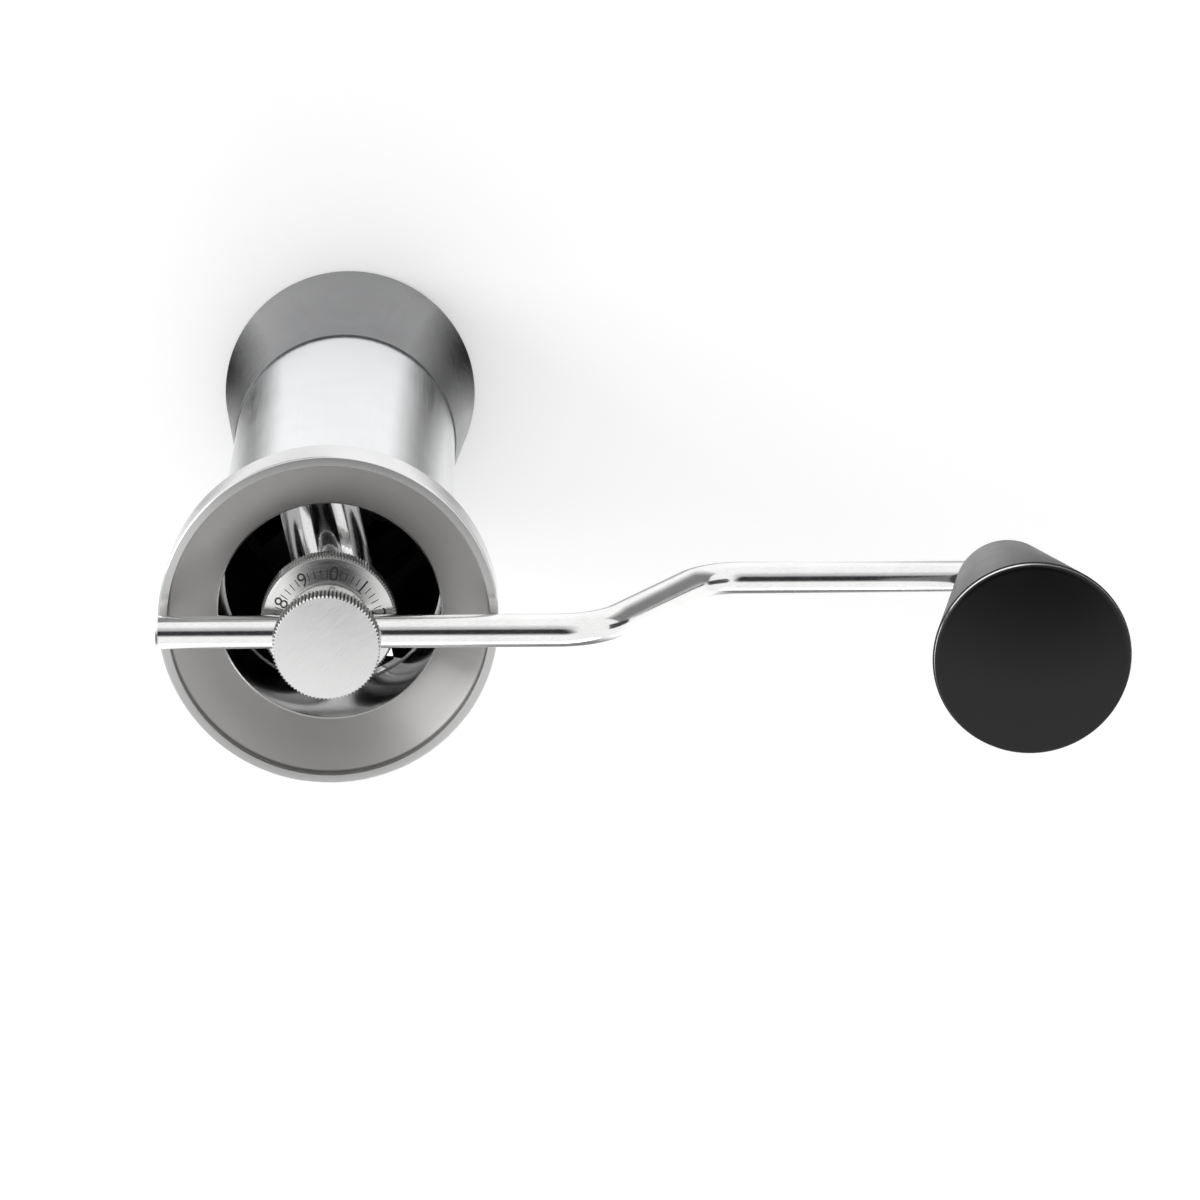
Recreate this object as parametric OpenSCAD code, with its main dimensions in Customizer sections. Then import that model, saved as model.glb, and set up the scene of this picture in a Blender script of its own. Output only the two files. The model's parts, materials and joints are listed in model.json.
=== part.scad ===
// Hand crank coffee grinder, standing upright on its catch cup.
// Origin: centre of the underside of the cup. +Z: grinding axis, towards the crank.
// +X: along the crank, towards the knob.

/* [Body] */
// Height of the hopper rim above the table
rim_z = 231; // [215:0.5:245]
// Outer radius of the hopper rim
rim_r = 41; // [38:0.5:44]
// Height of the rim's straight outer wall
rim_h = 11.6; // [8:0.1:14]
// Outer radius of the body tube
body_r = 30; // [29.5:0.1:30.3]
// Inner radius of the body tube
bore_r = 28; // [27.95:0.01:28.05]
// Height at which the cup meets the body
joint_z = 58; // [57:0.1:58]

/* [Hopper] */
// Width of the flat band round the rim
band_w = 2.2; // [1.5:0.1:3]
// Depth of the step from the rim down to the funnel
step_h = 2.5; // [1.5:0.1:3]
// Radius of the opening into the body
mouth_r = 27; // [26:0.1:27.2]
// Drop from the rim to the opening
mouth_drop = 9.5; // [8:0.1:10]
// Depth of the funnel's spigot below the rim
spigot_drop = 37.3; // [30:0.1:38]

/* [Crank] */
// Diameter of the crank bar
bar_d = 8; // [7.5:0.1:8.2]
// Height of the bar's axis above the hopper rim
bar_rise = 8; // [8:0.1:9]
// Drop from the upper to the lower stretch of the bar
bar_drop = 44.6; // [38:0.1:48]
// Distance from the grinding axis to the knob's axis
reach = 166; // [150:1:180]
// Length of the bar beyond the grinding axis, away from the knob
tail = 41; // [30:0.5:45]
// Where the first bend starts
bend_x = 55; // [48:0.5:60]
// Radius of both bends, to the bar's axis
bend_r = 17; // [12:0.5:20]
// Angle of both bends
bend_angle = 58; // [45:1:70]

/* [Knob] */
// Largest radius of the knob
knob_r = 23.5; // [20:0.5:26]
// Radius of the knob at its narrow end
knob_neck_r = 12.5; // [11:0.5:14]
// Height of the knob
knob_h = 61.4; // [59:0.1:64]

/* [Cup] */
// Radius of the cup at its base
cup_base_r = 35.6; // [34:0.1:38]
// Radius of the cup where it meets the body
cup_top_r = 30.4; // [30.4:0.1:31]

/* [Adjustment] */
// Radius of the knurled adjustment dial
dial_r = 16.5; // [15:0.1:18]
// Radius of the thumb screw's head
thumb_r = 12.9; // [11:0.1:14]
// Number of long flutes cut in the cone burr
cone_flutes = 8; // [6:1:10]
// Number of long flutes cut in the outer burr
ring_flutes = 12; // [8:1:16]
// Number of balls in each bearing
ball_count = 9; // [7:1:10]
// Turning position of the bearing bridge round the axis
bridge_angle = 102; // [60:1:120]

/* [Hidden] */
$fn = 96;

// Running clearance and the gap left between pieces that only lie next to each other
run = 0.05;
eps = 0.05;

// Hopper
band_r = rim_r - band_w;
seat_z = rim_z - 11.7;
seat_slope = 0.62;
spigot_z = rim_z - spigot_drop;
tube_top_z = rim_z - 13;

// Shaft, bearings and what holds them
shaft_r = 4;
bearing_r = 8;
bearing_h = 5;
ball_r = 1;
ball_pitch_r = 6;
bridge_top_z = rim_z - 42;
bridge_h = 11;
bridge_w = 19.6;
crown_r = 18.5;
upper_bearing_z = bridge_top_z - 9;
lower_bearing_z = 106;
sleeve_r = 5.2;

// Dial, click plate and drive hub
plate_z = rim_z - 8.2;
plate_h = 2.8;
track_r = 12;
dial_z = rim_z - 5.2;
dial_band_h = 4.6;
dial_bevel = 0.7;
dial_top_z = rim_z + 1.6;
hub_r = 10;
hub_z = rim_z - 3.4;

// Crank
bar_r = bar_d / 2;
bar_z = rim_z + bar_rise;
bar_low_z = bar_z - bar_drop;
slant_len = (bar_drop - 2 * bend_r * (1 - cos(bend_angle))) / sin(bend_angle);
bends_len = 2 * bend_r * sin(bend_angle) + slant_len * cos(bend_angle);
bar_end = 7;
hub_top_z = bar_z + 2.5;
stud_r = 2.5;

// Thumb screw
washer_h = 0.9;
clamp_z = bar_z + bar_r + eps;
thumb_neck_z = clamp_z + washer_h + eps;
thumb_z = rim_z + 15;
thumb_top_z = rim_z + 21.9;

// Knob
knob_top_z = rim_z + 35.6;
knob_z = knob_top_z - knob_h;
knob_rim_z = knob_top_z - 2.7;
trim_h = 1.2;
cap_r = knob_r - 0.4;
axle_r = 3;
axle_bore_r = 5.2;
bush_h = 8;
axle_top_z = knob_z + 40;

// Burrs and what is below them
burr_z = 66;
burr_h = 22;
cone_top_z = 94;
cone_r = 23.3;
cone_neck_r = 9;
clamp_ring_z = 63.2;
collar_z = joint_z - 8;
collar_r = bore_r - 0.05;
collar_bore_r = 24.6;
oring_z = joint_z - 3.5;
magnet_r = 1.5;

// Cup
cup_bore_r = 28.4;
ledge_z = joint_z - 11;
cup_floor_z = 4;
pad_r = cup_base_r - 2.35;
pad_h = 1.6;

// A ring between two radii and two heights
module ring(r_out, r_in, z0, z1) {
    translate([0, 0, z0])
        difference() {
            cylinder(r = r_out, h = z1 - z0);
            translate([0, 0, -1])
                cylinder(r = r_in, h = z1 - z0 + 2);
        }
}

// A turned solid from its half section
module turned(points) {
    rotate_extrude()
        polygon(points);
}

// A round hole or pin upright on the axis
module upright(r, z0, z1) {
    translate([0, 0, z0])
        cylinder(r = r, h = z1 - z0);
}

// Copies spread evenly round the axis, at a radius
module around(count, radius, start = 0) {
    for (i = [0 : count - 1])
        rotate([0, 0, start + i * 360 / count])
            translate([radius, 0, 0])
                children();
}

// The groove that the bearing balls run in
module ball_track(z) {
    translate([0, 0, z + bearing_h / 2])
        rotate_extrude()
            translate([ball_pitch_r, 0])
                circle(r = ball_r + 0.06, $fn = 48);
}

module outer_race(z) {
    difference() {
        ring(bearing_r, ball_pitch_r + 0.75, z, z + bearing_h);
        ball_track(z);
    }
}

module inner_race(z) {
    difference() {
        ring(ball_pitch_r - 0.75, shaft_r + run, z, z + bearing_h);
        ball_track(z);
    }
}

// Balls held apart by a thin cage
module caged_balls(z) {
    translate([0, 0, z + bearing_h / 2]) {
        ring(ball_pitch_r + 0.4, ball_pitch_r - 0.4, -0.6, 0.6);
        around(ball_count, ball_pitch_r)
            sphere(r = ball_r, $fn = 32);
    }
}

// Split spring ring that holds a bearing in its pocket
module circlip(z) {
    difference() {
        ring(bearing_r + 0.35, bearing_r - 1, z, z + 0.9);
        translate([bearing_r - 2, -1.5, z - 1])
            cube([4, 3, 3]);
    }
}

// Faces of a tube made of rings with the same number of points, closed at both ends
function tube_faces(rings, sides) = concat(
    [
        for (i = [0 : rings - 2])
            for (j = [0 : sides - 1])
                let (a = i * sides + j, b = i * sides + (j + 1) % sides)
                [a, a + sides, b + sides, b]
    ],
    [
        [for (j = [0 : sides - 1]) j],
        [for (j = [0 : sides - 1]) rings * sides - 1 - j]
    ]
);

// Body ---------------------------------------------------------------

module body_tube() {
    color("gainsboro")
        ring(body_r, bore_r, joint_z, tube_top_z);
}

module rim_ring() {
    wall_z = rim_z - rim_h;
    color("lightgray")
        turned([
            [body_r, tube_top_z - 9], [body_r + 1, tube_top_z - 9], [rim_r - 0.8, wall_z - 1],
            [rim_r, wall_z], [rim_r, rim_z - 0.4], [rim_r - 0.4, rim_z], [band_r, rim_z],
            [band_r, seat_z + (band_r - bore_r) * seat_slope], [bore_r, seat_z],
            [bore_r, tube_top_z], [body_r, tube_top_z]
        ]);
}

module funnel_insert() {
    spigot_r = bore_r - 0.1;
    lip_z = rim_z - mouth_drop;
    top_z = rim_z - step_h;
    edge_r = band_r - eps;
    color("darkgray")
        turned([
            [mouth_r, spigot_z], [spigot_r, spigot_z],
            [spigot_r, seat_z + eps],
            [edge_r, seat_z + (edge_r - bore_r) * seat_slope + eps],
            [edge_r, top_z], [band_r - 0.4, top_z],
            [mouth_r + 0.5, lip_z + 0.3], [mouth_r, lip_z]
        ]);
}

// Beam across the bore with a crowned top
module bridge_beam() {
    crown_angle = asin(bridge_w / 2 / crown_r);
    steps = 6;
    rotate([90, 0, 90])
        translate([0, bridge_top_z, -bore_r])
            linear_extrude(2 * bore_r)
                polygon([
                    [-bridge_w / 2, -bridge_h], [bridge_w / 2, -bridge_h],
                    for (i = [steps : -1 : -steps])
                        let (a = i * crown_angle / steps)
                        [crown_r * sin(a), crown_r * (cos(a) - 1)]
                ]);
}

// The beam, bored from below for its bearing
module upper_bridge() {
    color("silver")
        difference() {
            intersection() {
                upright(bore_r - 0.1, 0, rim_z);
                rotate([0, 0, bridge_angle])
                    bridge_beam();
            }
            upright(sleeve_r + 0.5, 0, rim_z);
            upright(bearing_r, 0, upper_bearing_z + bearing_h);
            upright(bearing_r + 0.4, upper_bearing_z - 1, upper_bearing_z);
        }
}

// Sleeve that straddles the beam and holds it down under the funnel's spigot
module bridge_ring() {
    bottom_z = spigot_z - 12.1;
    color("silver")
        difference() {
            ring(bore_r - 0.1, mouth_r - 0.3, bottom_z, spigot_z - eps);
            rotate([0, 0, bridge_angle])
                translate([-bore_r, -bridge_w / 2 - eps, bottom_z - 1])
                    cube([2 * bore_r, bridge_w + 2 * eps, bridge_top_z + eps - bottom_z + 1]);
        }
}

module upper_outer_race() {
    color("slategray")
        outer_race(upper_bearing_z);
}

module upper_circlip() {
    color("dimgray")
        circlip(upper_bearing_z - 0.95);
}

module lower_bridge() {
    bottom_z = lower_bearing_z - 2;
    top_z = lower_bearing_z + 8;
    color("silver")
        difference() {
            union() {
                ring(bore_r - 0.05, bore_r - 2.5, bottom_z, top_z);
                for (i = [0 : 2])
                    rotate([0, 0, bridge_angle + i * 120])
                        translate([0, -3.5, bottom_z])
                            cube([bore_r - 1.5, 7, top_z - bottom_z]);
                upright(11, bottom_z, top_z);
            }
            upright(shaft_r + 0.6, 0, rim_z);
            upright(bearing_r, bottom_z - 1, lower_bearing_z + bearing_h);
            upright(bearing_r + 0.4, lower_bearing_z - 1, lower_bearing_z);
        }
}

module lower_outer_race() {
    color("slategray")
        outer_race(lower_bearing_z);
}

module lower_circlip() {
    color("dimgray")
        circlip(lower_bearing_z - 0.95);
}

// A square bar on edge along the slope between two points of a half section
module slope_cutter(r0, z0, r1, z1, depth) {
    slope_len = norm([r1 - r0, z1 - z0]);
    side = depth * sqrt(2);
    translate([r0, 0, z0])
        rotate([0, atan2(r1 - r0, z1 - z0), 0])
            rotate([0, 0, 45])
                translate([-side / 2, -side / 2, -2])
                    cube([side, side, slope_len + 4]);
}

module outer_burr() {
    top_z = burr_z + burr_h;
    color("dimgray")
        difference() {
            turned([
                [cone_r + 0.6, burr_z], [bore_r - 0.05, burr_z], [bore_r - 0.05, top_z],
                [20.5, top_z], [cone_r + 0.6, burr_z + 2]
            ]);
            for (i = [0 : ring_flutes - 1])
                rotate([0, 0, (i + 0.5) * 360 / ring_flutes])
                    slope_cutter(cone_r + 0.4, burr_z + 5, 20.5, top_z, 1.4);
        }
}

module burr_clamp_ring() {
    color("darkslategray")
        difference() {
            ring(bore_r - 0.05, collar_bore_r, clamp_ring_z, burr_z - eps);
            around(2, 26.3)
                upright(0.8, clamp_ring_z - 1, burr_z);
        }
}

module cup_collar() {
    color("darkgray")
        difference() {
            turned([
                [collar_bore_r, collar_z], [collar_r - 0.5, collar_z], [collar_r, collar_z + 0.5],
                [collar_r, clamp_ring_z - 0.2], [collar_bore_r, clamp_ring_z - 0.2]
            ]);
            translate([0, 0, oring_z])
                rotate_extrude()
                    translate([collar_r - 0.55, 0])
                        circle(r = 0.95, $fn = 48);
            around(4, 26.3, 45)
                upright(magnet_r, collar_z - 1, collar_z + 2.5);
        }
}

module collar_oring() {
    color("black")
        translate([0, 0, oring_z])
            rotate_extrude()
                translate([collar_r - 0.55, 0])
                    circle(r = 0.9, $fn = 48);
}

module collar_magnets() {
    color("silver")
        around(4, 26.3, 45)
            upright(magnet_r, collar_z, collar_z + 2.5);
}

// Parts that only turn ------------------------------------------------

module upper_inner_race() {
    color("lightslategray")
        inner_race(upper_bearing_z);
}

module upper_balls() {
    color("white")
        caged_balls(upper_bearing_z);
}

module lower_inner_race() {
    color("lightslategray")
        inner_race(lower_bearing_z);
}

module lower_balls() {
    color("white")
        caged_balls(lower_bearing_z);
}

// Plate of detents under the dial, on a sleeve that stands on the upper bearing
module click_plate() {
    top_z = plate_z + plate_h;
    bottom_z = upper_bearing_z + bearing_h;
    color("gray")
        difference() {
            turned([
                [shaft_r + run, bottom_z], [sleeve_r, bottom_z], [sleeve_r, bottom_z + 13],
                [7.5, bottom_z + 18], [7.5, plate_z], [13.5, plate_z], [13.5, top_z],
                [shaft_r + run, top_z]
            ]);
            translate([0, 0, top_z + 0.5])
                rotate_extrude()
                    translate([track_r, 0])
                        circle(r = ball_r + 0.1, $fn = 48);
        }
}

// Dial ------------------------------------------------------------------

module adjust_dial() {
    band_top_z = dial_z + dial_band_h;
    color("lightgray")
        difference() {
            turned([
                [hub_r + run, dial_z], [dial_r - 0.3, dial_z], [dial_r, dial_z + 0.3],
                [dial_r, band_top_z], [dial_r - dial_bevel, band_top_z + dial_bevel],
                [hub_r + 0.4, dial_top_z], [hub_r + run, dial_top_z]
            ]);
            around(2, track_r)
                upright(ball_r + 0.05, dial_z - 1, dial_z + 4);
        }
}

module detent_balls() {
    color("white")
        around(2, track_r)
            translate([0, 0, dial_z + 0.3])
                sphere(r = ball_r, $fn = 32);
}

module detent_springs() {
    color("gray")
        around(2, track_r)
            ring(ball_r - 0.05, 0.55, dial_z + 1.35, dial_z + 3.95);
}

// Spindle ----------------------------------------------------------------

module shaft() {
    top_z = bar_z - bar_r - 0.2;
    color("silver")
        difference() {
            upright(shaft_r, burr_z + 4, top_z);
            upright(stud_r, rim_z - 9.5, top_z + 1);
            upright(stud_r, burr_z + 3, burr_z + 16);
            translate([0, 0, cone_top_z - 4])
                rotate([90, 0, 0])
                    cylinder(r = 1.25, h = 20, center = true);
        }
}

module drive_hub() {
    color("lightgray")
        difference() {
            turned([
                [0, hub_z], [hub_r, hub_z], [hub_r, hub_top_z - 0.5],
                [hub_r - 0.5, hub_top_z], [0, hub_top_z]
            ]);
            upright(shaft_r, hub_z - 1, hub_top_z + 1);
            translate([0, 0, bar_z])
                rotate([0, 90, 0])
                    cylinder(r = bar_r, h = 3 * hub_r, center = true);
            translate([-2 * hub_r, -bar_r, bar_z])
                cube([4 * hub_r, 2 * bar_r, 10]);
        }
}

// One section of the bar: its middle, how far it points down, and its radius
function bar_section(x, z, down, r, sides) = [
    for (j = [0 : sides - 1])
        let (a = -j * 360 / sides)
        [x + r * cos(a) * sin(down), r * sin(a), z + r * cos(a) * cos(down)]
];

module crank_bar() {
    sides = 32;
    steps = 9;
    end_x = reach + bar_end;
    low_x = bend_x + bends_len;
    upper_bend = [
        for (i = [0 : steps])
            let (a = bend_angle * i / steps)
            [bend_x + bend_r * sin(a), bar_z - bend_r * (1 - cos(a)), a, bar_r]
    ];
    lower_bend = [
        for (i = [steps : -1 : 0])
            let (a = bend_angle * i / steps)
            [low_x - bend_r * sin(a), bar_low_z + bend_r * (1 - cos(a)), a, bar_r]
    ];
    path = concat(
        [[-tail, bar_z, 0, bar_r - 0.6], [0.6 - tail, bar_z, 0, bar_r]],
        upper_bend, lower_bend,
        [[end_x, bar_low_z, 0, bar_r], [end_x + 0.8, bar_low_z, 0, bar_r - 0.8]]
    );
    points = [for (p = path) each bar_section(p[0], p[1], p[2], p[3], sides)];
    color("silver")
        difference() {
            polyhedron(points = points, faces = tube_faces(len(path), sides));
            upright(stud_r + 0.1, bar_z - 10, bar_z + 10);
            translate([reach, 0, 0])
                upright(stud_r, bar_low_z - 10, bar_low_z + 10);
        }
}

module cone_burr() {
    color("dimgray")
        difference() {
            turned([
                [0, burr_z], [cone_r, burr_z], [cone_r, burr_z + 2],
                [cone_neck_r, cone_top_z], [0, cone_top_z]
            ]);
            upright(shaft_r, burr_z + 4, cone_top_z + 1);
            upright(stud_r + 0.1, burr_z - 1, burr_z + 5);
            translate([0, 0, cone_top_z - 4])
                rotate([90, 0, 0])
                    cylinder(r = 1.25, h = 18, center = true);
            for (i = [0 : cone_flutes - 1])
                rotate([0, 0, 22.5 + i * 360 / cone_flutes])
                    slope_cutter(cone_r, burr_z + 6, cone_neck_r, cone_top_z + 2, 1.5);
        }
}

module burr_pin() {
    color("white")
        translate([0, 0, cone_top_z - 4])
            rotate([90, 0, 0])
                cylinder(r = 1.25, h = 16, center = true);
}

module burr_screw() {
    head_z = burr_z - 5.1;
    color("gray")
        difference() {
            union() {
                upright(4.5, head_z, burr_z - 1.1);
                upright(stud_r, burr_z - 1.1, burr_z + 14);
            }
            translate([0, 0, head_z - 1])
                cylinder(r = 2.3, h = 3.2, $fn = 6);
        }
}

module burr_washer() {
    color("lightgray")
        ring(7, stud_r + 0.1, burr_z - 1.1, burr_z);
}

// Points round one section of the spring's wire, at a given turn of the coil
function wire_section(turn, z, coil_r, wire_r, sides) = [
    for (j = [0 : sides - 1])
        let (
            a = j * 360 / sides,
            r = coil_r + wire_r * cos(a)
        )
        [r * cos(turn), r * sin(turn), z + wire_r * sin(a)]
];

module preload_spring() {
    turns = 4.5;
    per_turn = 16;
    sides = 8;
    wire_r = 0.6;
    bottom_z = cone_top_z + wire_r + 0.15;
    top_z = lower_bearing_z - wire_r - 0.15;
    steps = turns * per_turn;
    points = [
        for (i = [0 : steps])
            each wire_section(i * 360 / per_turn, bottom_z + (top_z - bottom_z) * i / steps,
                5.6, wire_r, sides)
    ];
    color("darkgray")
        polyhedron(points = points, faces = tube_faces(steps + 1, sides));
}

module knob_axle() {
    head_z = axle_top_z;
    color("silver")
        translate([reach, 0, 0])
            difference() {
                union() {
                    upright(stud_r, bar_low_z - bar_r, bar_low_z + bar_r + 1);
                    upright(axle_r, bar_low_z + bar_r + 1, head_z);
                    upright(5, head_z, head_z + 3.5);
                }
                translate([0, 0, head_z + 1.5])
                    cylinder(r = 2.3, h = 3, $fn = 6);
            }
}

module knob_spacer() {
    color("silver")
        difference() {
            translate([reach, 0, 0])
                ring(5.5, axle_r + 0.1, bar_low_z + bar_r - 1, knob_z - 0.4);
            translate([reach - 20, 0, bar_low_z])
                rotate([0, 90, 0])
                    cylinder(r = bar_r, h = 40);
        }
}

// Thumb screw -------------------------------------------------------------

module clamp_washer() {
    color("gainsboro")
        ring(7.5, stud_r + 0.1, clamp_z, clamp_z + washer_h);
}

module thumb_screw() {
    color("whitesmoke")
        turned([
            [0, rim_z - 7], [stud_r - run, rim_z - 7], [stud_r - run, thumb_neck_z],
            [8.5, thumb_neck_z], [8.5, thumb_z], [thumb_r - 0.6, thumb_z],
            [thumb_r, thumb_z + 0.6], [thumb_r, thumb_top_z - 0.6],
            [thumb_r - 0.6, thumb_top_z], [0, thumb_top_z]
        ]);
}

// Knob --------------------------------------------------------------------

// Radius of the knob's tapered side at a height
function knob_side_r(z) = knob_neck_r + (knob_r - knob_neck_r) * (z - knob_z) / (knob_rim_z - knob_z);

module knob_shell() {
    recess_r = knob_r - 3;
    color("dimgray")
        translate([reach, 0, 0])
            turned([
                [axle_bore_r, knob_z], [knob_neck_r - 1.2, knob_z],
                [knob_side_r(knob_z + 1.2) - 0.3, knob_z + 0.4],
                [knob_side_r(knob_z + 1.2), knob_z + 1.2],
                [knob_r, knob_rim_z], [recess_r, knob_rim_z],
                [recess_r, knob_rim_z - 2], [7, knob_rim_z - 3],
                [7, axle_top_z - 0.8], [axle_bore_r, axle_top_z - 0.8]
            ]);
}

module knob_cap() {
    dome_r = 11 * knob_r;
    edge_z = knob_top_z - 1.35;
    edge_rise = knob_top_z - edge_z - pow(cap_r - 1.6, 2) / (2 * dome_r);
    color("darkslategray")
        translate([reach, 0, 0])
            turned([
                [0, knob_rim_z - 1.8], [knob_r - 3 - eps, knob_rim_z - 1.8],
                [knob_r - 3 - eps, knob_rim_z + trim_h], [cap_r, knob_rim_z + trim_h],
                [cap_r, edge_z],
                for (i = [0 : 4])
                    [cap_r - 1.6 + 1.6 * cos(i * 20), edge_z + edge_rise * sin(i * 20)],
                for (r = [knob_r - 5 : -4 : 2])
                    [r, knob_top_z - r * r / (2 * dome_r)],
                [0, knob_top_z]
            ]);
}

module knob_trim_ring() {
    color("white")
        translate([reach, 0, 0])
            turned([
                [knob_r - 3 + eps, knob_rim_z], [cap_r + 0.15, knob_rim_z],
                [cap_r, knob_rim_z + trim_h - run], [knob_r - 3 + eps, knob_rim_z + trim_h - run]
            ]);
}

// A plain bearing bush in the knob's bore
module knob_bush(z) {
    color("goldenrod")
        translate([reach, 0, 0])
            ring(axle_bore_r, axle_r + run, z, z + bush_h);
}

module knob_bush_lower() {
    knob_bush(knob_z + 0.5);
}

module knob_bush_upper() {
    knob_bush(axle_top_z - 0.8 - bush_h);
}

module knob_washer() {
    color("lightgray")
        translate([reach, 0, 0])
            ring(6.5, axle_r + 0.1, axle_top_z - 0.8, axle_top_z - 0.1);
}

// Cup ---------------------------------------------------------------------

module cup_shell() {
    color("dimgray")
        difference() {
            turned([
                [0, 0.4], [cup_base_r - 0.6, 0.4], [cup_base_r, 1],
                [cup_top_r, joint_z - eps], [cup_bore_r, joint_z - eps], [cup_bore_r, ledge_z],
                [26.8, ledge_z], [26.8, ledge_z - 1.5], [29.4, ledge_z - 6],
                [cup_base_r - 2.4, 8], [cup_base_r - 4.4, cup_floor_z + 0.5], [0, cup_floor_z]
            ]);
            upright(pad_r + eps, 0, pad_h);
        }
}

module cup_steel_ring() {
    color("gray")
        ring(cup_bore_r - 0.02, 24.8, ledge_z, collar_z - 0.2);
}

module cup_base_pad() {
    color("black")
        upright(pad_r, 0, pad_h);
}

body_tube();
rim_ring();
funnel_insert();
upper_bridge();
bridge_ring();
upper_outer_race();
upper_circlip();
lower_bridge();
lower_outer_race();
lower_circlip();
outer_burr();
burr_clamp_ring();
cup_collar();
collar_oring();
collar_magnets();
upper_inner_race();
upper_balls();
lower_inner_race();
lower_balls();
click_plate();
adjust_dial();
detent_balls();
detent_springs();
shaft();
drive_hub();
crank_bar();
cone_burr();
burr_pin();
burr_screw();
burr_washer();
preload_spring();
knob_axle();
knob_spacer();
clamp_washer();
thumb_screw();
knob_shell();
knob_cap();
knob_trim_ring();
knob_bush_lower();
knob_bush_upper();
knob_washer();
cup_shell();
cup_steel_ring();
cup_base_pad();
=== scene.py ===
# Hand crank coffee grinder: the detailed visual model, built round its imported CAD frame.
# Lengths are in metres. Outlines are half sections: (radius, height) from the piece's own axis.
import json
import math

import bmesh
import bpy
from mathutils import Euler, Matrix, Vector


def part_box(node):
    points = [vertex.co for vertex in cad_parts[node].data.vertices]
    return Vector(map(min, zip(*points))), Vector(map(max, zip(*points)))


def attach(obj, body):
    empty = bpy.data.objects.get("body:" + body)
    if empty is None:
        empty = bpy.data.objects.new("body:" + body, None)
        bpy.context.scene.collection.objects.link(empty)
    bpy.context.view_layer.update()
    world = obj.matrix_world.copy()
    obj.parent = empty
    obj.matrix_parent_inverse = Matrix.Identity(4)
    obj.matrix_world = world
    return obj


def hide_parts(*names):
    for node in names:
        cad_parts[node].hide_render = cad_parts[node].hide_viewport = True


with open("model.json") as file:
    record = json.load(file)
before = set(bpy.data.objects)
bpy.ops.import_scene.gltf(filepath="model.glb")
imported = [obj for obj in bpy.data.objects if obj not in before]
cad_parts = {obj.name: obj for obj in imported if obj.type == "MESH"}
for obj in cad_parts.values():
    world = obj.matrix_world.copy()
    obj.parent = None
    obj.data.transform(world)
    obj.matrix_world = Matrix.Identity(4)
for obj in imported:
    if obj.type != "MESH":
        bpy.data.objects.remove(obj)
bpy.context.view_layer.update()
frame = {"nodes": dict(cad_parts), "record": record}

MM = 0.001
TURN = math.tau
SMOOTH = math.radians(30)
TINY = 1e-7
NODES = frame["nodes"]
SLOTS = {row["node"]: row["material_slot"] for row in frame["record"]["subparts"]}
BODIES = {
    node: body for body, nodes in frame["record"]["behaviour"]["bodies"].items() for node in nodes
}


# Sizes taken from the frame ------------------------------------------------------------


def round_size(node):
    """Outer radius, lowest level and highest level of a round CAD node."""
    low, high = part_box(node)
    return (high.x - low.x) / 2, low.z, high.z


def centre_of(node):
    """Where a round CAD node's upright axis stands, as (x, y)."""
    low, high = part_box(node)
    return (low.x + high.x) / 2, (low.y + high.y) / 2


# Mesh tools ------------------------------------------------------------------------------


def rounded(corners, step=math.radians(10)):
    """Points of a closed outline. A corner (radius, height, fillet) is rounded to that fillet."""
    points = []
    for i, corner in enumerate(corners):
        here = Vector(corner[:2])
        fillet = corner[2] if len(corner) > 2 else 0
        if not fillet:
            points.append(here)
            continue
        back = (Vector(corners[i - 1][:2]) - here).normalized()
        on = (Vector(corners[(i + 1) % len(corners)][:2]) - here).normalized()
        half = back.angle(on) / 2
        centre = here + (back + on).normalized() * fillet / math.sin(half)
        start = here + back * fillet / math.tan(half) - centre
        end = here + on * fillet / math.tan(half) - centre
        first = math.atan2(start.y, start.x)
        sweep = (math.atan2(end.y, end.x) - first + math.pi) % TURN - math.pi
        count = max(2, math.ceil(abs(sweep) / step))
        for k in range(count + 1):
            angle = first + sweep * k / count
            points.append(centre + fillet * Vector((math.cos(angle), math.sin(angle))))
    return points


def lathe(corners, segments=192, centre=(0, 0), shape=None):
    """A closed turned surface. shape(angle, radius, height) may return a changed radius."""
    mesh = bmesh.new()
    outline = rounded(corners)
    poles = {
        i: mesh.verts.new((*centre, point.y)) for i, point in enumerate(outline) if point.x < TINY
    }
    rings = []
    for k in range(segments):
        angle = TURN * k / segments
        ring = []
        for i, point in enumerate(outline):
            radius = shape(angle, point.x, point.y) if shape else point.x
            x = centre[0] + radius * math.cos(angle)
            y = centre[1] + radius * math.sin(angle)
            ring.append(poles.get(i) or mesh.verts.new((x, y, point.y)))
        rings.append(ring)
    for k, ring in enumerate(rings):
        following = rings[(k + 1) % segments]
        for i in range(len(outline)):
            j = (i + 1) % len(outline)
            corners_of_face = [ring[i], following[i], following[j], ring[j]]
            face = list(dict.fromkeys(corners_of_face))
            if len(face) > 2:
                mesh.faces.new(face)
    bmesh.ops.recalc_face_normals(mesh, faces=mesh.faces)
    return mesh


def sweep(path, radius, sides):
    """A closed round bar along a path of (centre, direction, radius factor) in space."""
    mesh = bmesh.new()
    rings = []
    for centre, direction, factor in path:
        side = Vector((0, 1, 0))
        up = direction.cross(side).normalized()
        side = up.cross(direction).normalized()
        ring = []
        for k in range(sides):
            angle = TURN * k / sides
            offset = (side * math.cos(angle) + up * math.sin(angle)) * radius * factor
            ring.append(mesh.verts.new(centre + offset))
        rings.append(ring)
    for before, after in zip(rings, rings[1:]):
        for k in range(sides):
            j = (k + 1) % sides
            mesh.faces.new((before[k], before[j], after[j], after[k]))
    mesh.faces.new(rings[0])
    mesh.faces.new(rings[-1])
    bmesh.ops.recalc_face_normals(mesh, faces=mesh.faces)
    return mesh


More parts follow.
